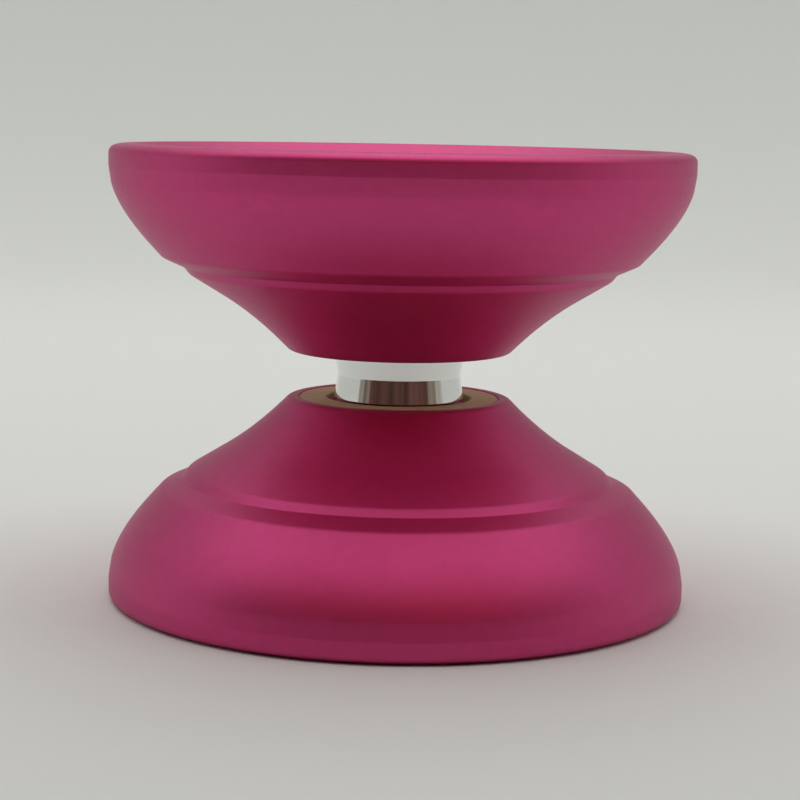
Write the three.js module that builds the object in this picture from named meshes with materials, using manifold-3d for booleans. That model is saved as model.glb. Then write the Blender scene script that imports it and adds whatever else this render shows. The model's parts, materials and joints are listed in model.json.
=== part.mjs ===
// A ball-bearing yo-yo of turned aluminium, in millimetres, with +Z along its spin axis.
// The origin is the centre of the bearing, midway between the two halves.
import * as THREE from 'three';
import * as BufferGeometryUtils from 'three/addons/utils/BufferGeometryUtils.js';
import Module from 'manifold-3d';

const wasm = await Module();
wasm.setup();

// ---- Driving dimensions ----

// Whole yo-yo
const RIM_RADIUS = 28.25;
const HALF_WIDTH = 22;
const STRING_GAP = 4.5;

// Outside of each half, from the hub to the rim
const HUB_EDGE_RADIUS = 10.55;
const HUB_EDGE_ROUNDING = 0.5;
const FLARE_START = { r: 10.95, z: 2.45 };
const FLARE_END = { r: 17.3, z: 7.63 };
const FLARE_START_SLOPE = 1.0;
const FLARE_END_SLOPE = 1.64;
const STEP_FOOT = { r: 20.45, z: 9.55 };
const STEP_TOP = { r: 21.05, z: 10.35 };
const LEDGE_EDGE = { r: 23.2, z: 11.26 };
const BOWL_START = { r: 23.55, z: 11.7 };
const BOWL_END = { r: 28.0, z: 18.3 };
const BOWL_START_SLOPE = 0.98;
const BOWL_END_SLOPE = 0.25;
const RIM_WALL = { startZ: 19.9, endZ: 21.1 };
const RIM_FLAT_RADIUS = 26.6;

// Inside of each half
const LIP_BEVEL_TOP_RADIUS = 25.8;
const LIP_BEVEL_FOOT = { r: 23.5, z: 20.8 };
const CUP_WALL_FOOT = { r: 23.2, z: 16.4 };
const CUP_CORNER = { r: 21.2, z: 13.5 };
const CUP_SLOPE_FOOT = { r: 13.2, z: 7.4 };
const CUP_FLOOR_Z = 7.0;
const BOSS_RADIUS = 5.2;
const BOSS_TOP_Z = 10.7;
const BOSS_CHAMFER = 0.6;

// Threaded axle, a set screw through the middle of both halves
const AXLE_RADIUS = 2.0;
const AXLE_LENGTH = 19;
const AXLE_CHAMFER = 0.35;
const AXLE_CLEARANCE = 0.08;
const HEX_ACROSS_FLATS = 2.0;
const HEX_DEPTH = 2.5;

// Bearing, a quarter inch bore by half inch outside diameter
const BEARING_BORE_RADIUS = 3.175;
const BEARING_OUTER_RADIUS = 6.35;
const BEARING_HALF_WIDTH = 2.38;
const TRACK_RADIUS = 6.0;
const TRACK_HALF_WIDTH = 0.1;
const RACE_CHAMFER = 0.1;
const BALL_COUNT = 8;
const BALL_RADIUS = 0.794;
const BALL_PITCH_RADIUS = 4.65;
const BALL_CLEARANCE = 0.05;
const INNER_SHOULDER_RADIUS = 3.95;
const OUTER_SHOULDER_RADIUS = 5.3;
const SHIELD_SEAT_RADIUS = 5.65;
const SHIELD_SEAT_Z = 1.45;
const SHIELD_THICKNESS = 0.25;
const CLIP_GROOVE_RADIUS = 5.85;
const CLIP_RADII = { inner: 5.2, outer: 5.78 };
const CLIP_THICKNESS = 0.25;
const CLIP_GROOVE_Z = 1.9;
const CLIP_GROOVE_WIDTH = 0.35;
const CLIP_GAP_ANGLE = Math.PI / 9;
const CAGE_RADII = { inner: 4.25, outer: 5.05 };
const CAGE_BOTTOM_Z = -1.25;
const CAGE_TOP_Z = 0.3;
const POCKET_CLEARANCE = 0.09;

// Seat of the bearing in each half
const POST_RADIUS = 3.12;
const POST_END_Z = 0.12;
const SEAT_SHELF_RADIUS = 3.85;
const SEAT_SHELF_GAP = 0.05;
const RECESS_RADIUS = 6.6;
const RECESS_FLOOR_Z = 2.75;
const RECESS_LIP_DROP = 0.1;

// Response pad and its groove
const GROOVE_RADII = { inner: 6.98, outer: 9.82 };
const GROOVE_FLOOR_Z = 3.3;
const PAD_GAP = 0.07;
const PAD_DROP = 0.04;

// Sides of the turned shapes
const HALF_SIDES = 36;
const SMALL_SIDES = 24;
const CURVE_STEPS = 5;
const RIM_CORNER_STEPS = 4;

// ---- Materials ----

const anodised = new THREE.MeshStandardMaterial({ color: 0xa83a68, roughness: 0.45, metalness: 0.8 });
const silicone = new THREE.MeshStandardMaterial({ color: 0x94794f, roughness: 0.85, metalness: 0 });
const polishedSteel = new THREE.MeshStandardMaterial({ color: 0xd8dad6, roughness: 0.08, metalness: 1 });
const plainSteel = new THREE.MeshStandardMaterial({ color: 0xa9abaa, roughness: 0.35, metalness: 1 });

// ---- Profile helpers: a profile is a closed loop of [radius, height] points ----

// Points on a curve from `start` to `end` that is pulled towards `corner`, where its end tangents meet.
function bend(start, corner, end, steps) {
  const [from, middle, to] = [start, corner, end].map(({ r, z }) => new THREE.Vector2(r, z));
  const curve = new THREE.QuadraticBezierCurve(from, middle, to);
  return curve.getPoints(steps).map((point) => [point.x, point.y]);
}

// Points on a curve that leaves `start` and reaches `end` at the given slopes of radius over height.
function slopedCurve(start, end, startSlope, endSlope) {
  const cornerZ = (end.r - start.r + startSlope * start.z - endSlope * end.z) / (startSlope - endSlope);
  const corner = { r: start.r + startSlope * (cornerZ - start.z), z: cornerZ };
  return bend(start, corner, end, CURVE_STEPS);
}

// Points on an arc about [r, z], between two angles measured from the +r direction.
function arc(r, z, radius, startAngle, endAngle, steps) {
  const points = [];
  for (let i = 0; i <= steps; i += 1) {
    const angle = startAngle + ((endAngle - startAngle) * i) / steps;
    points.push([r + radius * Math.cos(angle), z + radius * Math.sin(angle)]);
  }
  return points;
}

// Turns a closed profile round the Z axis.
function turned(profile, sides) {
  const loop = [...profile, profile[0]];
  const points = loop.map(([r, z]) => new THREE.Vector2(r, z));
  return new THREE.LatheGeometry(points, sides).rotateX(Math.PI / 2);
}

// A flat ring between two radii and two heights.
function ring(radii, bottomZ, topZ, sides) {
  const profile = [
    [radii.inner, bottomZ],
    [radii.outer, bottomZ],
    [radii.outer, topZ],
    [radii.inner, topZ],
  ];
  return turned(profile, sides);
}

// ---- Boolean helpers ----

function toManifold(geometry) {
  const bare = geometry.clone();
  bare.deleteAttribute('normal');
  bare.deleteAttribute('uv');
  const merged = BufferGeometryUtils.mergeVertices(bare, 1e-4);
  const vertProperties = new Float32Array(merged.attributes.position.array);
  const triVerts = new Uint32Array(merged.index.array);
  return new wasm.Manifold(new wasm.Mesh({ numProp: 3, vertProperties, triVerts }));
}

function toGeometry(manifold) {
  const mesh = manifold.getMesh();
  const geometry = new THREE.BufferGeometry();
  geometry.setAttribute('position', new THREE.BufferAttribute(mesh.vertProperties, 3));
  geometry.setIndex(new THREE.BufferAttribute(mesh.triVerts, 1));
  geometry.computeVertexNormals();
  return geometry;
}

function cut(geometry, tools) {
  let solid = toManifold(geometry);
  for (const tool of tools) {
    solid = solid.subtract(toManifold(tool));
  }
  return toGeometry(solid);
}

// ---- The two halves ----

// One half, standing above the centre plane: hub face at the bottom, cup open at the top.
function halfGeometry() {
  const faceZ = STRING_GAP / 2;
  const bore = AXLE_RADIUS + AXLE_CLEARANCE;
  const wallEnd = { r: RIM_RADIUS, z: RIM_WALL.endZ };
  const rimCorner = { r: RIM_RADIUS, z: HALF_WIDTH };
  const flatStart = { r: RIM_FLAT_RADIUS, z: HALF_WIDTH };

  const seat = [
    [bore, POST_END_Z],
    [POST_RADIUS, POST_END_Z],
    [POST_RADIUS, BEARING_HALF_WIDTH + SEAT_SHELF_GAP],
    [SEAT_SHELF_RADIUS, BEARING_HALF_WIDTH + SEAT_SHELF_GAP],
    [SEAT_SHELF_RADIUS, RECESS_FLOOR_Z],
    [RECESS_RADIUS, RECESS_FLOOR_Z],
    [RECESS_RADIUS, faceZ + RECESS_LIP_DROP],
    [GROOVE_RADII.inner, faceZ + RECESS_LIP_DROP],
    [GROOVE_RADII.inner, GROOVE_FLOOR_Z],
    [GROOVE_RADII.outer, GROOVE_FLOOR_Z],
    [GROOVE_RADII.outer, faceZ],
  ];
  const hubEdge = arc(
    HUB_EDGE_RADIUS, faceZ + HUB_EDGE_ROUNDING, HUB_EDGE_ROUNDING, -Math.PI / 2, -Math.PI / 4, 2,
  );
  const flare = slopedCurve(FLARE_START, FLARE_END, FLARE_START_SLOPE, FLARE_END_SLOPE);
  const step = [
    [STEP_FOOT.r, STEP_FOOT.z],
    [STEP_TOP.r, STEP_TOP.z],
    [LEDGE_EDGE.r, LEDGE_EDGE.z],
  ];
  const bowl = slopedCurve(BOWL_START, BOWL_END, BOWL_START_SLOPE, BOWL_END_SLOPE);
  const rim = [
    [RIM_RADIUS, RIM_WALL.startZ],
    ...bend(wallEnd, rimCorner, flatStart, RIM_CORNER_STEPS),
    [LIP_BEVEL_TOP_RADIUS, HALF_WIDTH],
    [LIP_BEVEL_FOOT.r, LIP_BEVEL_FOOT.z],
  ];
  const cup = [
    [CUP_WALL_FOOT.r, CUP_WALL_FOOT.z],
    [CUP_CORNER.r, CUP_CORNER.z],
    [CUP_SLOPE_FOOT.r, CUP_SLOPE_FOOT.z],
    [BOSS_RADIUS, CUP_FLOOR_Z],
    [BOSS_RADIUS, BOSS_TOP_Z - BOSS_CHAMFER],
    [BOSS_RADIUS - BOSS_CHAMFER, BOSS_TOP_Z],
    [bore, BOSS_TOP_Z],
  ];
  return turned([...seat, ...hubEdge, ...flare, ...step, ...bowl, ...rim, ...cup], HALF_SIDES);
}

// ---- The axle ----

function axleGeometry() {
  const end = AXLE_LENGTH / 2;
  const points = [
    new THREE.Vector2(0, -end),
    new THREE.Vector2(AXLE_RADIUS - AXLE_CHAMFER, -end),
    new THREE.Vector2(AXLE_RADIUS, -end + AXLE_CHAMFER),
    new THREE.Vector2(AXLE_RADIUS, end - AXLE_CHAMFER),
    new THREE.Vector2(AXLE_RADIUS - AXLE_CHAMFER, end),
    new THREE.Vector2(0, end),
  ];
  const shank = new THREE.LatheGeometry(points, SMALL_SIDES).rotateX(Math.PI / 2);
  const hexRadius = HEX_ACROSS_FLATS / Math.sqrt(3);
  const socket = new THREE.CylinderGeometry(hexRadius, hexRadius, 2 * HEX_DEPTH, 6);
  socket.rotateX(Math.PI / 2).translate(0, 0, end);
  return cut(shank, [socket]);
}

// ---- The bearing ----

function outerRaceGeometry() {
  const ballTrack = BALL_PITCH_RADIUS + BALL_RADIUS + BALL_CLEARANCE;
  const ballTrackHalfWidth = BALL_RADIUS * 0.7;
  const upperSide = [
    [TRACK_RADIUS, TRACK_HALF_WIDTH],
    [BEARING_OUTER_RADIUS, BEARING_HALF_WIDTH - RACE_CHAMFER],
    [BEARING_OUTER_RADIUS - RACE_CHAMFER, BEARING_HALF_WIDTH],
    [SHIELD_SEAT_RADIUS, BEARING_HALF_WIDTH],
    [SHIELD_SEAT_RADIUS, CLIP_GROOVE_Z + CLIP_GROOVE_WIDTH],
    [CLIP_GROOVE_RADIUS, CLIP_GROOVE_Z + CLIP_GROOVE_WIDTH],
    [CLIP_GROOVE_RADIUS, CLIP_GROOVE_Z],
    [SHIELD_SEAT_RADIUS, CLIP_GROOVE_Z],
    [SHIELD_SEAT_RADIUS, SHIELD_SEAT_Z],
    [OUTER_SHOULDER_RADIUS, SHIELD_SEAT_Z],
    [OUTER_SHOULDER_RADIUS, ballTrackHalfWidth],
    [ballTrack, ballTrackHalfWidth / 2],
  ];
  const lowerSide = upperSide.map(([r, z]) => [r, -z]).reverse();
  return turned([...upperSide, ...lowerSide], SMALL_SIDES);
}

function innerRaceGeometry() {
  const ballTrack = BALL_PITCH_RADIUS - BALL_RADIUS - BALL_CLEARANCE;
  const ballTrackHalfWidth = BALL_RADIUS * 0.45;
  const profile = [
    [BEARING_BORE_RADIUS, -BEARING_HALF_WIDTH],
    [INNER_SHOULDER_RADIUS, -BEARING_HALF_WIDTH],
    [INNER_SHOULDER_RADIUS, -ballTrackHalfWidth],
    [ballTrack, -ballTrackHalfWidth / 2],
    [ballTrack, ballTrackHalfWidth / 2],
    [INNER_SHOULDER_RADIUS, ballTrackHalfWidth],
    [INNER_SHOULDER_RADIUS, BEARING_HALF_WIDTH],
    [BEARING_BORE_RADIUS, BEARING_HALF_WIDTH],
  ];
  return turned(profile, SMALL_SIDES);
}

// Where ball number `index` sits.
function ballPosition(index) {
  const angle = (2 * Math.PI * index) / BALL_COUNT;
  return new THREE.Vector3(
    BALL_PITCH_RADIUS * Math.cos(angle), BALL_PITCH_RADIUS * Math.sin(angle), 0,
  );
}

function cageGeometry() {
  const pockets = [];
  for (let i = 0; i < BALL_COUNT; i += 1) {
    const pocket = new THREE.SphereGeometry(BALL_RADIUS + POCKET_CLEARANCE, 10, 6);
    const centre = ballPosition(i);
    pockets.push(pocket.translate(centre.x, centre.y, centre.z));
  }
  return cut(ring(CAGE_RADII, CAGE_BOTTOM_Z, CAGE_TOP_Z, SMALL_SIDES), pockets);
}

function shieldGeometry() {
  const bottom = SHIELD_SEAT_Z + BALL_CLEARANCE;
  const radii = { inner: INNER_SHOULDER_RADIUS + 2 * BALL_CLEARANCE, outer: SHIELD_SEAT_RADIUS - BALL_CLEARANCE };
  return ring(radii, bottom, bottom + SHIELD_THICKNESS, SMALL_SIDES);
}

// An open ring that springs into the groove of the outer race.
function clipGeometry() {
  const shape = new THREE.Shape();
  const start = CLIP_GAP_ANGLE / 2;
  const end = 2 * Math.PI - CLIP_GAP_ANGLE / 2;
  shape.absarc(0, 0, CLIP_RADII.outer, start, end, false);
  shape.absarc(0, 0, CLIP_RADII.inner, end, start, true);
  const options = { depth: CLIP_THICKNESS, bevelEnabled: false, curveSegments: SMALL_SIDES };
  const bottom = CLIP_GROOVE_Z + (CLIP_GROOVE_WIDTH - CLIP_THICKNESS) / 2;
  return new THREE.ExtrudeGeometry(shape, options).translate(0, 0, bottom);
}

function padGeometry() {
  const radii = { inner: GROOVE_RADII.inner + PAD_GAP, outer: GROOVE_RADII.outer - PAD_GAP };
  return ring(radii, STRING_GAP / 2 + PAD_DROP, GROOVE_FLOOR_Z - PAD_GAP, SMALL_SIDES);
}

// ---- Assembly ----

const yoyo = new THREE.Group();

function add(parent, name, geometry, material) {
  const mesh = new THREE.Mesh(geometry, material);
  mesh.name = name;
  parent.add(mesh);
  return mesh;
}

// Each side has the same four pieces, and the lower side is the upper one turned over.
for (const side of ['upper', 'lower']) {
  const group = new THREE.Group();
  group.rotation.x = side === 'lower' ? Math.PI : 0;
  add(group, `${side}_half`, halfGeometry(), anodised);
  add(group, `${side}_pad`, padGeometry(), silicone);
  add(group, `${side}_shield`, shieldGeometry(), plainSteel);
  add(group, `${side}_clip`, clipGeometry(), plainSteel);
  yoyo.add(group);
}

add(yoyo, 'axle', axleGeometry(), plainSteel);
add(yoyo, 'outer_race', outerRaceGeometry(), polishedSteel);
add(yoyo, 'inner_race', innerRaceGeometry(), plainSteel);
add(yoyo, 'ball_cage', cageGeometry(), plainSteel);
for (let i = 0; i < BALL_COUNT; i += 1) {
  const ball = add(yoyo, `ball_${i + 1}`, new THREE.SphereGeometry(BALL_RADIUS, 8, 6), polishedSteel);
  ball.rotation.x = Math.PI / 2;
  ball.position.copy(ballPosition(i));
}

export default yoyo;
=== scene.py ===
import json
import math

import bmesh
import bpy
from mathutils import Matrix, Vector


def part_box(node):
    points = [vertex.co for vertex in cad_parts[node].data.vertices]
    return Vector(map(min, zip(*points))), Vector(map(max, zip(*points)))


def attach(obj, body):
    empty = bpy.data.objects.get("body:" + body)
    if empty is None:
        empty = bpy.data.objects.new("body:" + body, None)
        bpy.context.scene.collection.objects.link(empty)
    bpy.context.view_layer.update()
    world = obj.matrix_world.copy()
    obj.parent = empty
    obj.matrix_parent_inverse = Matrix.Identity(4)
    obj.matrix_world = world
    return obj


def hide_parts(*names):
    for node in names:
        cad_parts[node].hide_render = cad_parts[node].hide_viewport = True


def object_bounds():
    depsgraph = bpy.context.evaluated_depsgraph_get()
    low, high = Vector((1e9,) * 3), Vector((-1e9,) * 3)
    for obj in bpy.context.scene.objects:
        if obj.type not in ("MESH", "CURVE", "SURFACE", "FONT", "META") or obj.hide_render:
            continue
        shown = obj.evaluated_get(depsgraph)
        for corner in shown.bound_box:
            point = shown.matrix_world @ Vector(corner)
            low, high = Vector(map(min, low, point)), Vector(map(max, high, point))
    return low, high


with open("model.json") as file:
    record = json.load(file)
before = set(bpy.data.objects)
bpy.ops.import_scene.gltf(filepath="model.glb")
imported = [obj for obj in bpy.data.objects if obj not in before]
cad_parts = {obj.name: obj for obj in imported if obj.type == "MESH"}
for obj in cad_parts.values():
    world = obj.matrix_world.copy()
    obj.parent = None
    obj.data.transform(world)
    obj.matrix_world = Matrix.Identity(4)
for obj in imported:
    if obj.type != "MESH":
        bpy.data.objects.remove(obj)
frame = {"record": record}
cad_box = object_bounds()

MM = 0.001

# ---- Sizes read from the frame ----

BODY_OF = {
    node: body
    for body, nodes in frame["record"]["behaviour"]["bodies"].items()
    for node in nodes
}


def reach(node):
    """The node's largest radius and its lowest and highest point, in millimetres."""
    low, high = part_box(node)
    return high.x / MM, low.z / MM, high.z / MM


RIM_RADIUS, POST_END, HALF_WIDTH = reach("upper_half")
PAD_RADIUS, PAD_FACE, PAD_BACK = reach("upper_pad")
RACE_RADIUS, _, RACE_HALF_WIDTH = reach("outer_race")
AXLE_RADIUS, AXLE_LOW, AXLE_HIGH = reach("axle")
SHIELD_RADIUS, SHIELD_LOW, SHIELD_HIGH = reach("upper_shield")
CAGE_RADIUS, CAGE_LOW, CAGE_HIGH = reach("ball_cage")
_, CLIP_LOW, CLIP_HIGH = reach("upper_clip")
CLIP_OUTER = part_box("upper_clip")[1].y / MM
BALL_COUNT = sum(node.startswith("ball_") and node[5:].isdigit() for node in BODY_OF)
BALL_LOW, BALL_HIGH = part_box("ball_1")
BALL_RADIUS = (BALL_HIGH.z - BALL_LOW.z) / 2 / MM
BALL_PITCH_RADIUS = (BALL_HIGH.x + BALL_LOW.x) / 2 / MM

# ---- Sizes of the fine shapes ----

HUB_FACE = 2.25
BORE_RADIUS = 2.08
POST_RADIUS = 3.12
SEAT_SHELF = {"r": 3.85, "z": 2.43}
RECESS = {"r": 6.6, "z": 3.0, "lip": 2.9}
PAD_GROOVE = {"inner": 6.98, "outer": 9.82, "floor": 3.3}
HUB_CORNER_RADIUS = 10.75
FLARE_START = {"r": 11.35, "z": 2.85}
FLARE_END = {"r": 17.3, "z": 7.63}
FLARE_SLOPES = (1.0, 1.64)
STEP_EDGE = {"r": 20.55, "z": 9.62}
LEDGE_FOOT = {"r": 21.13, "z": 10.34}
LEDGE_EDGE = {"r": 23.2, "z": 11.25}
BOWL_START = {"r": 23.75, "z": 11.87}
BOWL_END = {"r": 28.0, "z": 18.3}
BOWL_SLOPES = (0.95, 0.25)
RIM_WALL = {"start": 19.9, "end": 21.1}
RIM_FLAT_RADIUS = 26.6
LIP_BEVEL_TOP_RADIUS = 25.8
LIP_BEVEL_FOOT = {"r": 23.5, "z": 20.8}
CUP_WALL_FOOT = {"r": 23.2, "z": 16.4}
CUP_CORNER = {"r": 21.2, "z": 13.5}
CUP_SLOPE_FOOT = {"r": 13.2, "z": 7.4}
CUP_STEP = {"outer": 10.6, "top": 7.25, "inner": 10.4, "floor": 7.0}
BOSS_RADIUS = 5.2
BOSS_TOP = 10.7
BOSS_COUNTERSINK = 0.35
PAD_CROWN = 0.02
THREAD_PITCH = 0.7
THREAD_DEPTH = 0.36
THREAD_HALF_GROOVE = 0.42
AXLE_CHAMFER = 0.4
INNER_BORE_RADIUS = 3.175
INNER_SHOULDER = 3.95
OUTER_SHOULDER = 5.3
SHIELD_SEAT = 5.65
CLIP_INNER = 5.2
CLIP_GROOVE = 5.85
CLIP_GAP_DEGREES = 20
SEAT_CLEARANCE = 0.05
TRACK_RADIUS = 6.0
TRACK_ROUNDING = 1.0
BALL_TRACK_RADIUS = BALL_RADIUS + 0.02
POCKET_RADIUS = BALL_RADIUS + 0.08
SHIELD_INNER = INNER_SHOULDER + 0.1
SHIELD_DISH = {"start": 0.35, "end": 0.5, "depth": 0.06}
SOCKET_FLATS = 2.0
SOCKET_DEPTH = 2.5

HALF_SEGMENTS = 224
SMALL_SEGMENTS = 144
FILLET_STEPS = 6
LONGEST_FILLET_SHARE = 0.48
CURVE_STEPS = 28
TRACK_STEPS = 12
MAX_STEP = 0.6
SHARP_DEGREES = 40
AXLE_SHARP_DEGREES = 50
SWEEP_SHARP_DEGREES = 60
BALL_DIVISIONS = 4
POCKET_DIVISIONS = 3
CLIP_STEPS = 120
CLIP_SECTION = 16
THREAD_ROWS_PER_TURN = 12
THREAD_COLUMNS = 72


# ---- Outlines: closed loops of (radius, height), anticlockwise in the half plane ----


def bend(start, corner, end, steps):
    """A smooth curve from `start` to `end`, pulled towards the `corner` of its end tangents."""
    points = []
    for i in range(steps + 1):
        t = i / steps
        shares = (1 - t) ** 2, 2 * t * (1 - t), t**2
        r = sum(share * point[0] for share, point in zip(shares, (start, corner, end)))
        z = sum(share * point[1] for share, point in zip(shares, (start, corner, end)))
        points.append((r, z, 0))
    return points


def sloped_curve(start, end, start_slope, end_slope):
    """A smooth curve between two points, with its slopes of radius over height at both ends."""
    corner_z = end["r"] - start["r"] + start_slope * start["z"] - end_slope * end["z"]
    corner_z /= start_slope - end_slope
    corner = (start["r"] + start_slope * (corner_z - start["z"]), corner_z)
    return bend((start["r"], start["z"]), corner, (end["r"], end["z"]), CURVE_STEPS)


def rounded(corners):
    """Turns (radius, height, rounding) corners into a loop with an arc at each rounded corner."""
    loop = []
    count = len(corners)
    for i, (r, z, rounding) in enumerate(corners):
        here = Vector((r, z))
        if rounding == 0:
            loop.append(here)
            continue
        before = Vector(corners[i - 1][:2]) - here
        after = Vector(corners[(i + 1) % count][:2]) - here
        half_angle = before.angle(after) / 2
        longest = LONGEST_FILLET_SHARE * min(before.length, after.length)
        back = min(rounding / math.tan(half_angle), longest)
        radius = back * math.tan(half_angle)
        start = here + before.normalized() * back
        bisector = (before.normalized() + after.normalized()).normalized()
        centre = here + bisector * (radius / math.sin(half_angle))
        first = start - centre
        turn = first.angle_signed(here + after.normalized() * back - centre)
        for k in range(FILLET_STEPS + 1):
            angle = -turn * k / FILLET_STEPS
            cosine, sine = math.cos(angle), math.sin(angle)
            x = first.x * cosine - first.y * sine
            y = first.x * sine + first.y * cosine
            loop.append(centre + Vector((x, y)))
    return loop


def divided(loop):
    """Adds points along straight stretches, so that shading stays true beside the roundings."""
    fine = []
    for here, there in zip(loop, loop[1:] + loop[:1]):
        steps = max(1, math.ceil((there - here).length / MAX_STEP))
        fine += [here.lerp(there, k / steps) for k in range(steps)]
    return fine


# ---- Mesh helpers ----


def make_object(name, vertices, faces, sharp_degrees=SHARP_DEGREES):
    """A smooth-shaded object from points in millimetres."""
    mesh = bpy.data.meshes.new(name)
    mesh.from_pydata([Vector(v) * MM for v in vertices], [], faces)
    mesh.validate()
    mesh.shade_smooth()
    mesh.set_sharp_from_angle(angle=math.radians(sharp_degrees))
    piece = bpy.data.objects.new(name, mesh)
    bpy.context.scene.collection.objects.link(piece)
    return piece


def object_from_shape(name, shape):
    """A smooth-shaded object from a bmesh in metres, which is freed."""
    mesh = bpy.data.meshes.new(name)
    shape.to_mesh(mesh)
    shape.free()
    mesh.shade_smooth()
    piece = bpy.data.objects.new(name, mesh)
    bpy.context.scene.collection.objects.link(piece)
    return piece


def curved_sheet(name, radius, heights, angles, columns=24):
    """An upright sheet that curves round the object, between two angles from the front."""
    vertices = []
    for z in heights:
        for j in range(columns + 1):
            share = j / columns
            angle = math.radians(angles[0] * (1 - share) + angles[1] * share) - math.pi / 2
            vertices.append((radius * math.cos(angle) / MM, radius * math.sin(angle) / MM, z / MM))
    faces = [(j, j + 1, columns + 2 + j, columns + 1 + j) for j in range(columns)]
    return make_object(name, vertices, faces)


def lathe(name, corners, segments):
    """Turns a closed outline round Z."""
    loop = divided(rounded(corners))
    count = len(loop)
    vertices = []
    for j in range(segments):
        angle = 2 * math.pi * j / segments
        for point in loop:
            vertices.append((point.x * math.cos(angle), point.x * math.sin(angle), point.y))
    faces = []
    for j in range(segments):
        ahead = (j + 1) % segments
        for i in range(count):
            up = (i + 1) % count
            faces.append(
                (j * count + i, ahead * count + i, ahead * count + up, j * count + up)
            )
    return make_object(name, vertices, faces)


def turn_over(piece):
    """Turns a piece's mesh upside down about X, as the lower side's copy of an upper part."""
    piece.data.transform(Matrix.Rotation(math.pi, 4, "X"))


def cut(piece, cutter):
    """Cuts `cutter` out of the piece, applies the result, and removes the cutter."""
    modifier = piece.modifiers.new("cut", "BOOLEAN")
    modifier.object = cutter
    modifier.operation = "DIFFERENCE"
    modifier.solver = "EXACT"
    graph = bpy.context.evaluated_depsgraph_get()
    result = bpy.data.meshes.new_from_object(piece.evaluated_get(graph))
    piece.modifiers.clear()
    old = piece.data
    piece.data = result
    bpy.data.meshes.remove(old)
    bpy.data.objects.remove(cutter)
    result.shade_smooth()
    result.set_sharp_from_angle(angle=math.radians(SHARP_DEGREES))


# ---- Shader helpers ----


class Shader:
    """A material under construction, with short calls for its nodes."""

    NOISE_RANGE = (0.3, 0.7)

    def __init__(self, name):
        self.material = bpy.data.materials.new(name)
        self.material.use_nodes = True
        self.nodes = self.material.node_tree.nodes
        self.links = self.material.node_tree.links
        self.surface = self.nodes["Principled BSDF"]
        self.place = self.nodes.new("ShaderNodeTexCoord").outputs["Object"]

    def set(self, **values):
        """Sets sockets of the surface by name, with _ for each space."""
        for name, value in values.items():
            self.surface.inputs[name.replace("_", " ")].default_value = value

    def noise(self, scale, detail=3.0, place=None):
        node = self.nodes.new("ShaderNodeTexNoise")
        node.inputs["Scale"].default_value = scale
        node.inputs["Detail"].default_value = detail
        self.links.new(place or self.place, node.inputs["Vector"])
        return node.outputs["Fac"]

    def turned(self, along):
        """A place that only changes along the axis and radius, as a lathe tool's marks do."""
        split = self.nodes.new("ShaderNodeSeparateXYZ")
        self.links.new(self.place, split.inputs[0])
        level = self.nodes.new("ShaderNodeVectorMath")
        level.operation = "MULTIPLY"
        level.inputs[1].default_value = (1, 1, 0)
        self.links.new(self.place, level.inputs[0])
        radius = self.nodes.new("ShaderNodeVectorMath")
        radius.operation = "LENGTH"
        self.links.new(level.outputs["Vector"], radius.inputs[0])
        joined = self.nodes.new("ShaderNodeCombineXYZ")
        self.links.new(radius.outputs["Value"], joined.inputs["X"])
        self.links.new(split.outputs["Z"], joined.inputs["Y"])
        stretched = self.nodes.new("ShaderNodeVectorMath")
        stretched.operation = "SCALE"
        stretched.inputs["Scale"].default_value = along
        self.links.new(joined.outputs[0], stretched.inputs[0])
        return stretched.outputs[0]

    def spread(self, value, low, high, socket):
        """Maps a noise to a range and feeds it to one of the surface's sockets."""
        node = self.nodes.new("ShaderNodeMapRange")
        node.inputs["From Min"].default_value = self.NOISE_RANGE[0]
        node.inputs["From Max"].default_value = self.NOISE_RANGE[1]
        node.inputs["To Min"].default_value = low
        node.inputs["To Max"].default_value = high
        self.links.new(value, node.inputs["Value"])
        self.links.new(node.outputs["Result"], self.surface.inputs[socket])

    def colours(self, value, low, high, socket="Base Color"):
        """Maps a noise to a range of colours and feeds it to one of the surface's sockets."""
        node = self.nodes.new("ShaderNodeValToRGB")
        for stop, colour, position in zip(node.color_ramp.elements, (low, high), self.NOISE_RANGE):
            stop.position = position
            stop.color = (*colour, 1)
        self.links.new(value, node.inputs["Fac"])
        self.links.new(node.outputs["Color"], self.surface.inputs[socket])

    def painted_light_falloff(self, distances, near, far):
        """Fades the base colour with the distance from the axis: a painted light falloff, lighter
        near the axis and painted shade further out.
        """
        length = self.nodes.new("ShaderNodeVectorMath")
        length.operation = "LENGTH"
        self.links.new(self.place, length.inputs[0])
        # A little noise shifts the distance, a random tone in the paper, on top of the painted
        # light falloff.
        distance_with_fibres = self.nodes.new("ShaderNodeMath")
        distance_with_fibres.operation = "MULTIPLY_ADD"
        distance_with_fibres.inputs[1].default_value = PAPER_FIBRE_SHIFT
        self.links.new(self.noise(40, 4), distance_with_fibres.inputs[0])
        self.links.new(length.outputs["Value"], distance_with_fibres.inputs[2])
        fade = self.nodes.new("ShaderNodeMapRange")
        fade.interpolation_type = "SMOOTHSTEP"
        fade.inputs["From Min"].default_value = distances[0]
        fade.inputs["From Max"].default_value = distances[1]
        self.links.new(distance_with_fibres.outputs[0], fade.inputs["Value"])
        ramp = self.nodes.new("ShaderNodeValToRGB")
        ramp.color_ramp.elements[0].color = (*near, 1)
        ramp.color_ramp.elements[1].color = (*far, 1)
        self.links.new(fade.outputs["Result"], ramp.inputs["Fac"])
        self.links.new(ramp.outputs["Color"], self.surface.inputs["Base Color"])

    def bump(self, value, strength, distance):
        """Raises the surface by a noise, over a distance in millimetres."""
        node = self.nodes.new("ShaderNodeBump")
        node.inputs["Strength"].default_value = strength
        node.inputs["Distance"].default_value = distance * MM
        self.links.new(value, node.inputs["Height"])
        self.links.new(node.outputs["Normal"], self.surface.inputs["Normal"])


# ---- Materials ----


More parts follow.
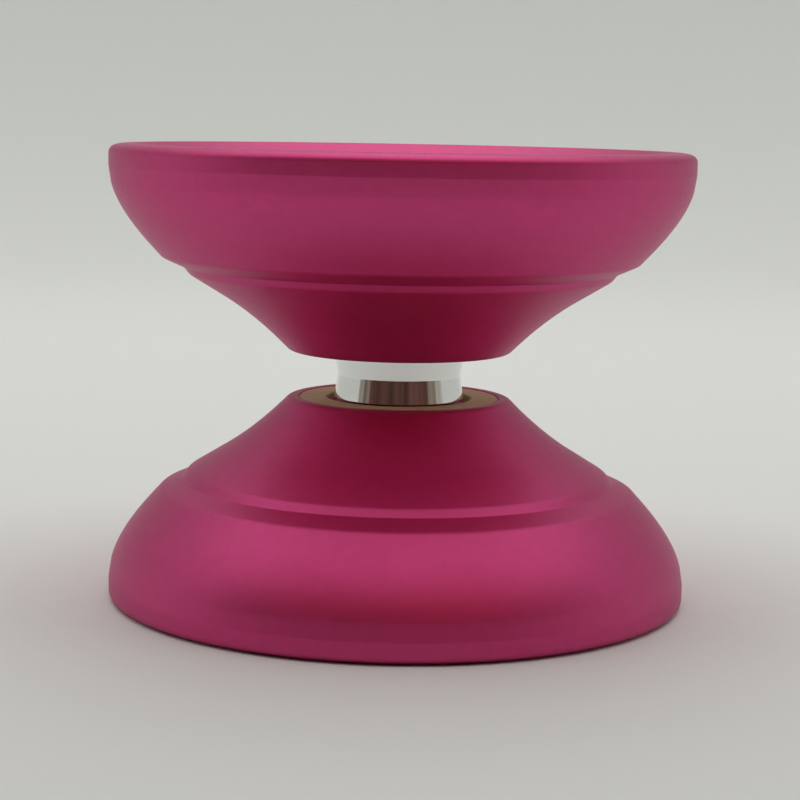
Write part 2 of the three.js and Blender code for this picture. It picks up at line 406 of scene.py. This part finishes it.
def anodised_aluminium():
    """Bead-blasted aluminium under a deep pink dye, with the oxide's faint grey sheen."""
    shader = Shader("anodised_pink")
    shader.colours(shader.noise(900, 4), (0.60, 0.025, 0.192), (0.64, 0.029, 0.208))
    shader.spread(shader.noise(2600, 3), 0.44, 0.50, "Roughness")
    shader.bump(shader.noise(11000, 4), 0.10, 0.02)
    shader.set(Metallic=0.93, Specular_Tint=(0.52, 0.36, 0.44, 1))
    shader.set(Coat_Weight=0.75, Coat_Roughness=0.45, Coat_IOR=1.6)
    return shader.material


def silicone():
    """Matt tan silicone with a little dust in it."""
    shader = Shader("tan_silicone")
    shader.colours(shader.noise(1400, 5), (0.76, 0.60, 0.35), (0.88, 0.70, 0.43))
    shader.spread(shader.noise(3000, 3), 0.62, 0.8, "Roughness")
    shader.bump(shader.noise(6000, 5), 0.3, 0.03)
    shader.set(Subsurface_Weight=0.05)
    return shader.material


def turned_steel(name, grey, roughness, mark_strength):
    """Steel with the fine rings that turning and polishing leave."""
    shader = Shader(name)
    marks = shader.noise(1.0, 4, shader.turned(24000))
    shader.colours(marks, (grey * 0.95,) * 3, (grey, grey, grey * 0.985))
    shader.spread(marks, roughness * 0.8, roughness * 1.25, "Roughness")
    shader.bump(marks, mark_strength, 0.004)
    shader.set(Metallic=1.0)
    return shader.material


def ground_steel(name, grey, roughness):
    """Plain steel with a fine even grain."""
    shader = Shader(name)
    grain = shader.noise(9000, 5)
    shader.colours(grain, (grey * 0.88,) * 3, (grey,) * 3)
    shader.spread(grain, roughness * 0.75, roughness * 1.3, "Roughness")
    shader.bump(grain, 0.15, 0.01)
    shader.set(Metallic=1.0)
    return shader.material


MATERIALS = {
    "anodised_body": anodised_aluminium(),
    "silicone_pad": silicone(),
    "polished_race": turned_steel("polished_race_steel", 0.80, 0.075, 0.06),
    "bearing_steel": turned_steel("bearing_steel", 0.6, 0.22, 0.3),
    "ball_steel": ground_steel("ball_steel", 0.78, 0.06),
    "axle_steel": ground_steel("axle_steel", 0.42, 0.3),
}
SLOT_OF = {row["node"]: row["material_slot"] for row in frame["record"]["subparts"]}


def finish_piece(piece, node):
    """Gives a piece its material and body, and puts it in the place of its CAD node."""
    slot = SLOT_OF[node]
    piece.data.materials.clear()
    piece.data.materials.append(MATERIALS[slot])
    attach(piece, BODY_OF[node])
    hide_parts(node)


# ---- The halves ----


def half_corners():
    """The outline of one half, as (radius, height, rounding) corners, from the bore round to it."""
    seat = [
        (BORE_RADIUS, POST_END, 0.12),
        (POST_RADIUS, POST_END, 0.15),
        (POST_RADIUS, SEAT_SHELF["z"], 0.05),
        (SEAT_SHELF["r"], SEAT_SHELF["z"], 0.05),
        (SEAT_SHELF["r"], RECESS["z"], 0.05),
        (RECESS["r"], RECESS["z"], 0.1),
        (RECESS["r"], RECESS["lip"], 0.07),
        (PAD_GROOVE["inner"], RECESS["lip"], 0.07),
        (PAD_GROOVE["inner"], PAD_GROOVE["floor"], 0.1),
        (PAD_GROOVE["outer"], PAD_GROOVE["floor"], 0.1),
        (PAD_GROOVE["outer"], HUB_FACE, 0.08),
        (HUB_CORNER_RADIUS, HUB_FACE, 1.3),
    ]
    flare = sloped_curve(FLARE_START, FLARE_END, *FLARE_SLOPES)
    step = [
        (STEP_EDGE["r"], STEP_EDGE["z"], 1.3),
        (LEDGE_FOOT["r"], LEDGE_FOOT["z"], 0.25),
        (LEDGE_EDGE["r"], LEDGE_EDGE["z"], 1.4),
    ]
    bowl = sloped_curve(BOWL_START, BOWL_END, *BOWL_SLOPES)
    wall_end = (RIM_RADIUS, RIM_WALL["end"])
    flat_start = (RIM_FLAT_RADIUS, HALF_WIDTH)
    rim = [
        (RIM_RADIUS, RIM_WALL["start"], 1.5),
        *bend(wall_end, (RIM_RADIUS, HALF_WIDTH), flat_start, CURVE_STEPS),
        (LIP_BEVEL_TOP_RADIUS, HALF_WIDTH, 0.5),
        (LIP_BEVEL_FOOT["r"], LIP_BEVEL_FOOT["z"], 0.4),
    ]
    cup = [
        (CUP_WALL_FOOT["r"], CUP_WALL_FOOT["z"], 3.0),
        (CUP_CORNER["r"], CUP_CORNER["z"], 2.5),
        (CUP_SLOPE_FOOT["r"], CUP_SLOPE_FOOT["z"], 4.0),
        (CUP_STEP["outer"], CUP_STEP["top"], 0.15),
        (CUP_STEP["inner"], CUP_STEP["floor"], 0.15),
        (BOSS_RADIUS, CUP_STEP["floor"], 0.7),
        (BOSS_RADIUS, BOSS_TOP, 0.55),
        (BORE_RADIUS + BOSS_COUNTERSINK, BOSS_TOP, 0.06),
        (BORE_RADIUS, BOSS_TOP - BOSS_COUNTERSINK, 0.06),
    ]
    return seat + flare + step + bowl + rim + cup


def make_half(side):
    half = lathe(f"{side}_half_turned", half_corners(), HALF_SEGMENTS)
    if side == "lower":
        turn_over(half)
    finish_piece(half, f"{side}_half")


# ---- The response pads ----


def make_pad(side):
    inner = PAD_GROOVE["inner"] + PAD_GROOVE["outer"] - PAD_RADIUS
    corners = [
        (inner, PAD_FACE + PAD_CROWN, 0.12),
        ((inner + PAD_RADIUS) / 2, PAD_FACE, 0),
        (PAD_RADIUS, PAD_FACE + PAD_CROWN, 0.12),
        (PAD_RADIUS, PAD_BACK, 0.1),
        (inner, PAD_BACK, 0.1),
    ]
    pad = lathe(f"{side}_pad_moulded", corners, SMALL_SEGMENTS)
    if side == "lower":
        turn_over(pad)
    finish_piece(pad, f"{side}_pad")


# ---- The bearing ----


def track_arc(shoulder):
    """A ball track in section, from bottom to top, as (distance from a ball's centre, height)."""
    widest = math.pi / 2 - math.asin(shoulder / BALL_TRACK_RADIUS)
    angles = [widest * (2 * i / TRACK_STEPS - 1) for i in range(TRACK_STEPS + 1)]
    return [(BALL_TRACK_RADIUS * math.cos(a), BALL_TRACK_RADIUS * math.sin(a)) for a in angles]


def make_outer_race():
    upper = [
        (RACE_RADIUS, RACE_HALF_WIDTH - 0.1, 0.05),
        (RACE_RADIUS - 0.1, RACE_HALF_WIDTH, 0.05),
        (SHIELD_SEAT, RACE_HALF_WIDTH, 0.04),
        (SHIELD_SEAT, CLIP_HIGH + SEAT_CLEARANCE, 0.02),
        (CLIP_GROOVE, CLIP_HIGH + SEAT_CLEARANCE, 0.04),
        (CLIP_GROOVE, CLIP_LOW - SEAT_CLEARANCE, 0.04),
        (SHIELD_SEAT, CLIP_LOW - SEAT_CLEARANCE, 0.02),
        (SHIELD_SEAT, SHIELD_LOW - SEAT_CLEARANCE, 0.03),
        (OUTER_SHOULDER, SHIELD_LOW - SEAT_CLEARANCE, 0.05),
    ]
    lower = [(r, -z, rounding) for r, z, rounding in reversed(upper)]
    ball_track = [
        (BALL_PITCH_RADIUS + reach_out, -z, 0)
        for reach_out, z in track_arc(OUTER_SHOULDER - BALL_PITCH_RADIUS)
    ]
    string_track = [(TRACK_RADIUS, 0, TRACK_ROUNDING)]
    corners = string_track + upper + ball_track + lower
    finish_piece(lathe("outer_race_polished", corners, SMALL_SEGMENTS), "outer_race")


def make_inner_race():
    ball_track = [
        (BALL_PITCH_RADIUS - reach_in, z, 0)
        for reach_in, z in track_arc(BALL_PITCH_RADIUS - INNER_SHOULDER)
    ]
    corners = [
        (INNER_BORE_RADIUS, -RACE_HALF_WIDTH, 0.12),
        (INNER_SHOULDER, -RACE_HALF_WIDTH, 0.08),
        *ball_track,
        (INNER_SHOULDER, RACE_HALF_WIDTH, 0.08),
        (INNER_BORE_RADIUS, RACE_HALF_WIDTH, 0.12),
    ]
    finish_piece(lathe("inner_race_turned", corners, SMALL_SEGMENTS), "inner_race")


def ball_centre(index):
    angle = 2 * math.pi * index / BALL_COUNT
    return Vector((math.cos(angle), math.sin(angle), 0)) * BALL_PITCH_RADIUS * MM


def make_spheres(name, radius, centres, divisions):
    """One object with a finely divided sphere at each centre."""
    shape = bmesh.new()
    for centre in centres:
        bmesh.ops.create_icosphere(
            shape, subdivisions=divisions, radius=radius * MM, matrix=Matrix.Translation(centre)
        )
    return object_from_shape(name, shape)


def make_balls():
    for i in range(BALL_COUNT):
        name = f"ball_{i + 1}"
        ball = make_spheres(f"{name}_ground", BALL_RADIUS, [ball_centre(i)], BALL_DIVISIONS)
        finish_piece(ball, name)


def make_cage():
    """A crown cage: a ring whose open-topped pockets snap over the balls."""
    inner = 2 * BALL_PITCH_RADIUS - CAGE_RADIUS
    corners = [
        (inner, CAGE_LOW, 0.08),
        (CAGE_RADIUS, CAGE_LOW, 0.08),
        (CAGE_RADIUS, CAGE_HIGH, 0.06),
        (inner, CAGE_HIGH, 0.06),
    ]
    cage = lathe("ball_cage_pressed", corners, SMALL_SEGMENTS)
    centres = [ball_centre(i) for i in range(BALL_COUNT)]
    cut(cage, make_spheres("pockets", POCKET_RADIUS, centres, POCKET_DIVISIONS))
    finish_piece(cage, "ball_cage")


def make_shield(side):
    """A thin pressed disc, dished a little between its seat and its inner edge."""
    bottom = SHIELD_LOW + SHIELD_DISH["depth"]
    top = SHIELD_HIGH - SHIELD_DISH["depth"]
    dish_start = SHIELD_INNER + SHIELD_DISH["start"]
    dish_end = SHIELD_INNER + SHIELD_DISH["end"]
    corners = [
        (SHIELD_INNER, bottom, 0.03),
        (dish_start, bottom, 0.1),
        (dish_end, SHIELD_LOW, 0.1),
        (SHIELD_RADIUS, SHIELD_LOW, 0.03),
        (SHIELD_RADIUS, top, 0.03),
        (dish_end, top, 0.1),
        (dish_start, SHIELD_HIGH, 0.1),
        (SHIELD_INNER, SHIELD_HIGH, 0.03),
    ]
    shield = lathe(f"{side}_shield_pressed", corners, SMALL_SEGMENTS)
    if side == "lower":
        turn_over(shield)
    finish_piece(shield, f"{side}_shield")


def squared_off(value):
    """Pushes a sine or cosine towards its ends, which makes a circle a rounded square."""
    return math.copysign(abs(value) ** 0.5, value)


def make_clip(side):
    """A sprung wire ring with a gap, held in the outer race's groove."""
    middle = (CLIP_OUTER + CLIP_INNER) / 2
    half_width = (CLIP_OUTER - CLIP_INNER) / 2
    half_height = (CLIP_HIGH - CLIP_LOW) / 2
    level = (CLIP_HIGH + CLIP_LOW) / 2
    gap = math.radians(CLIP_GAP_DEGREES)
    vertices = []
    for j in range(CLIP_STEPS + 1):
        angle = gap / 2 + (2 * math.pi - gap) * j / CLIP_STEPS
        for k in range(CLIP_SECTION):
            across = 2 * math.pi * k / CLIP_SECTION
            r = middle + half_width * squared_off(math.cos(across))
            z = level + half_height * squared_off(math.sin(across))
            vertices.append((r * math.cos(angle), r * math.sin(angle), z))
    faces = []
    for j in range(CLIP_STEPS):
        here, ahead = j * CLIP_SECTION, (j + 1) * CLIP_SECTION
        for k in range(CLIP_SECTION):
            up = (k + 1) % CLIP_SECTION
            faces.append((here + k, ahead + k, ahead + up, here + up))
    last = CLIP_STEPS * CLIP_SECTION
    faces.append(tuple(range(CLIP_SECTION)))
    faces.append(tuple(reversed(range(last, last + CLIP_SECTION))))
    clip = make_object(f"{side}_clip_sprung", vertices, faces)
    if side == "lower":
        turn_over(clip)
    finish_piece(clip, f"{side}_clip")


# ---- The axle ----


def make_axle():
    """A set screw: a right-hand thread, chamfered ends and a hexagon socket in the upper end."""
    length = AXLE_HIGH - AXLE_LOW
    rows = round(length / THREAD_PITCH * THREAD_ROWS_PER_TURN)
    columns = THREAD_COLUMNS
    vertices = []
    for i in range(rows + 1):
        z = AXLE_LOW + length * i / rows
        to_end = min(z - AXLE_LOW, AXLE_HIGH - z)
        limit = AXLE_RADIUS - AXLE_CHAMFER + min(to_end, AXLE_CHAMFER)
        for j in range(columns):
            angle = 2 * math.pi * j / columns
            phase = (z / THREAD_PITCH - j / columns) % 1
            groove = max(0.0, 1 - abs(phase - 0.5) / THREAD_HALF_GROOVE)
            r = min(AXLE_RADIUS - THREAD_DEPTH * groove, limit)
            vertices.append((r * math.cos(angle), r * math.sin(angle), z))
    faces = []
    for i in range(rows):
        low, high = i * columns, (i + 1) * columns
        for j in range(columns):
            ahead = (j + 1) % columns
            faces.append((low + j, low + ahead, high + ahead, high + j))
    faces.append(tuple(reversed(range(columns))))
    faces.append(tuple(range(rows * columns, (rows + 1) * columns)))
    axle = make_object("axle_threaded", vertices, faces, AXLE_SHARP_DEGREES)

    socket = bmesh.new()
    radius = SOCKET_FLATS / math.sqrt(3) * MM
    bmesh.ops.create_cone(
        socket, cap_ends=True, segments=6, radius1=radius, radius2=radius,
        depth=2 * SOCKET_DEPTH * MM, matrix=Matrix.Translation((0, 0, AXLE_HIGH * MM)),
    )
    cut(axle, object_from_shape("socket", socket))
    finish_piece(axle, "axle")


for side_name in ("upper", "lower"):
    make_half(side_name)
    make_pad(side_name)
    make_shield(side_name)
    make_clip(side_name)
make_outer_race()
make_inner_race()
make_balls()
make_cage()
make_axle()


# ---- Studio ----

FLOOR_Z = cad_box[0].z
SENSOR_WIDTH = 36
CLIP_START = 0.005
CAMERA_PLACE = Vector((0, -0.20151, 0.02511))
CAMERA_PITCH = math.radians(7.843)
CAMERA_YAW = math.radians(0.039)
CAMERA_ROLL = math.radians(1.079)
CAMERA_LENS = 93.1


def make_camera():
    data = bpy.data.cameras.new("camera")
    data.lens = CAMERA_LENS
    data.sensor_width = SENSOR_WIDTH
    data.clip_start = CLIP_START
    camera = bpy.data.objects.new("camera", data)
    bpy.context.scene.collection.objects.link(camera)
    yaw = Matrix.Rotation(-CAMERA_YAW, 4, "Z")
    pitch = Matrix.Rotation(math.pi / 2 - CAMERA_PITCH, 4, "X")
    roll = Matrix.Rotation(CAMERA_ROLL, 4, "Z")
    camera.matrix_world = Matrix.Translation(CAMERA_PLACE) @ yaw @ pitch @ roll
    bpy.context.scene.camera = camera


SWEEP = {"floor_radius": 0.38, "wall_radius": 0.85, "wall_height": 0.75, "centre_radius": 0.001}
SWEEP_BEND_STEPS = 24
SWEEP_COLUMNS = 96
# The paper's colours near the object and far from it, and the distances of the fade in metres: a
# painted light falloff, lighter near the object and painted shade further out.
PAPER_LIT_NEAR = (0.840, 0.834, 0.815)
PAPER_SHADED_FAR = (0.665, 0.668, 0.650)
PAPER_FALLOFF_DISTANCES = (0.2, 0.9)
PAPER_FIBRE_SHIFT = 0.02


def make_backdrop():
    """A round pale sweep: a flat floor that curves up into a low wall on every side."""
    floor_radius = SWEEP["floor_radius"]
    bend_radius = SWEEP["wall_radius"] - floor_radius
    outline = [(SWEEP["centre_radius"], 0), (floor_radius, 0)]
    for i in range(1, SWEEP_BEND_STEPS + 1):
        angle = math.pi / 2 * i / SWEEP_BEND_STEPS
        r = floor_radius + bend_radius * math.sin(angle)
        outline.append((r, bend_radius * (1 - math.cos(angle))))
    outline.append((SWEEP["wall_radius"], SWEEP["wall_height"]))
    columns = SWEEP_COLUMNS
    vertices = []
    for r, z in outline:
        for j in range(columns):
            angle = 2 * math.pi * j / columns
            point = Vector((r * math.cos(angle), r * math.sin(angle), z + FLOOR_Z))
            vertices.append(point / MM)
    faces = []
    for i in range(len(outline) - 1):
        low, high = i * columns, (i + 1) * columns
        for j in range(columns):
            ahead = (j + 1) % columns
            faces.append((low + j, high + j, high + ahead, low + ahead))
    faces.append(tuple(reversed(range(columns))))
    sweep = make_object("studio_sweep", vertices, faces, SWEEP_SHARP_DEGREES)
    shader = Shader("studio_paper")
    # Painted light falloff on the paper: lighter near the object, painted shade further out.
    shader.painted_light_falloff(PAPER_FALLOFF_DISTANCES, PAPER_LIT_NEAR, PAPER_SHADED_FAR)
    shader.spread(shader.noise(300, 3), 0.85, 0.95, "Roughness")
    shader.set(Specular_IOR_Level=0.2)
    sweep.data.materials.append(shader.material)


# Each front card: its lowest and highest edge in metres, its two ends in degrees from the front,
# and its glow.
FRONT_CARDS = {
    "front_card_low": ((-0.015, 0.12), (-54, 54), (0.085, 0.04, 0.03)),
    "front_card_middle": ((0.12, 0.26), (-54, 54), (0.35, 0.05, 0.015)),
    "front_card_high": ((0.26, 0.42), (-54, 54), (0.24, 0.09, 0.03)),
    "front_card_left": ((-0.015, 0.26), (-66, -54), (0.17, 0.14, 0.10)),
    "front_card_right": ((-0.015, 0.26), (54, 70), (0.18, 0.145, 0.11)),
    "front_card_left_edge": ((-0.015, 0.26), (-76, -66), (0.36, 0.33, 0.29)),
    "front_card_right_edge": ((-0.015, 0.26), (70, 84), (0.30, 0.27, 0.23)),
}
CAMERA_FLAG = ((0.0, 0.4), (-62, 62))
CARD_RADIUS = 0.34
STREAK_RANGE = (0.35, 1.65)
STREAK_SQUEEZE = (1, 1, 0.12)


def make_front_card(name, heights, angles, glow):
    """A card in front, seen only in reflections: it stands for the dim warm room there."""
    card = curved_sheet(name, CARD_RADIUS, heights, angles)
    card.visible_camera = False
    card.visible_diffuse = False
    card.visible_shadow = False
    shader = Shader(name)
    shader.set(Base_Color=(0.005, 0.005, 0.005, 1), Roughness=0.9, Specular_IOR_Level=0.1)
    upright = shader.nodes.new("ShaderNodeMapping")
    upright.inputs["Scale"].default_value = STREAK_SQUEEZE
    shader.links.new(shader.place, upright.inputs["Vector"])
    streaks = shader.noise(9, 4, upright.outputs["Vector"])
    dim, bright = (tuple(share * channel for channel in glow) for share in STREAK_RANGE)
    shader.colours(streaks, dim, bright, "Emission Color")
    shader.set(Emission_Strength=1.0)
    card.data.materials.append(shader.material)


def make_camera_flag():
    """A black flag in front, that only the soft light on the floor notices, as of someone there."""
    flag = curved_sheet("camera_flag", CARD_RADIUS, *CAMERA_FLAG)
    flag.visible_camera = False
    flag.visible_glossy = False
    flag.visible_shadow = False
    shader = Shader("black_cloth")
    shader.colours(shader.noise(60, 3), (0.01, 0.01, 0.01), (0.02, 0.02, 0.02))
    shader.set(Roughness=1.0, Specular_IOR_Level=0.0)
    flag.data.materials.append(shader.material)


SOFTBOXES = {
    "softbox_top": {"place": (0, 0, 0.62), "size": 0.5, "power": 0.2},
    "softbox_back": {"place": (0, 0.26, 0.36), "size": 0.3, "power": 0.1},
    "softbox_left": {"place": (-0.55, -0.1, 0.32), "size": 0.4, "power": 0.12},
    "softbox_right": {"place": (0.55, -0.1, 0.32), "size": 0.4, "power": 0.1},
}
WORLD_COLOUR = (0.92, 0.94, 0.91, 1)
WORLD_STRENGTH = 1.05


def make_lights():
    for name, box in SOFTBOXES.items():
        data = bpy.data.lights.new(name, "AREA")
        data.shape = "DISK"
        data.size = box["size"]
        data.energy = box["power"]
        light = bpy.data.objects.new(name, data)
        bpy.context.scene.collection.objects.link(light)
        light.location = box["place"]
        to_object = -Vector(box["place"])
        light.rotation_euler = to_object.to_track_quat("-Z", "Y").to_euler()


def make_world():
    world = bpy.data.worlds.new("studio_air")
    world.use_nodes = True
    background = world.node_tree.nodes["Background"]
    background.inputs["Color"].default_value = WORLD_COLOUR
    background.inputs["Strength"].default_value = WORLD_STRENGTH
    bpy.context.scene.world = world


make_camera()
make_backdrop()
for card_name, card_facts in FRONT_CARDS.items():
    make_front_card(card_name, *card_facts)
make_camera_flag()
make_lights()
make_world()
bpy.context.scene.view_settings.view_transform = "Standard"
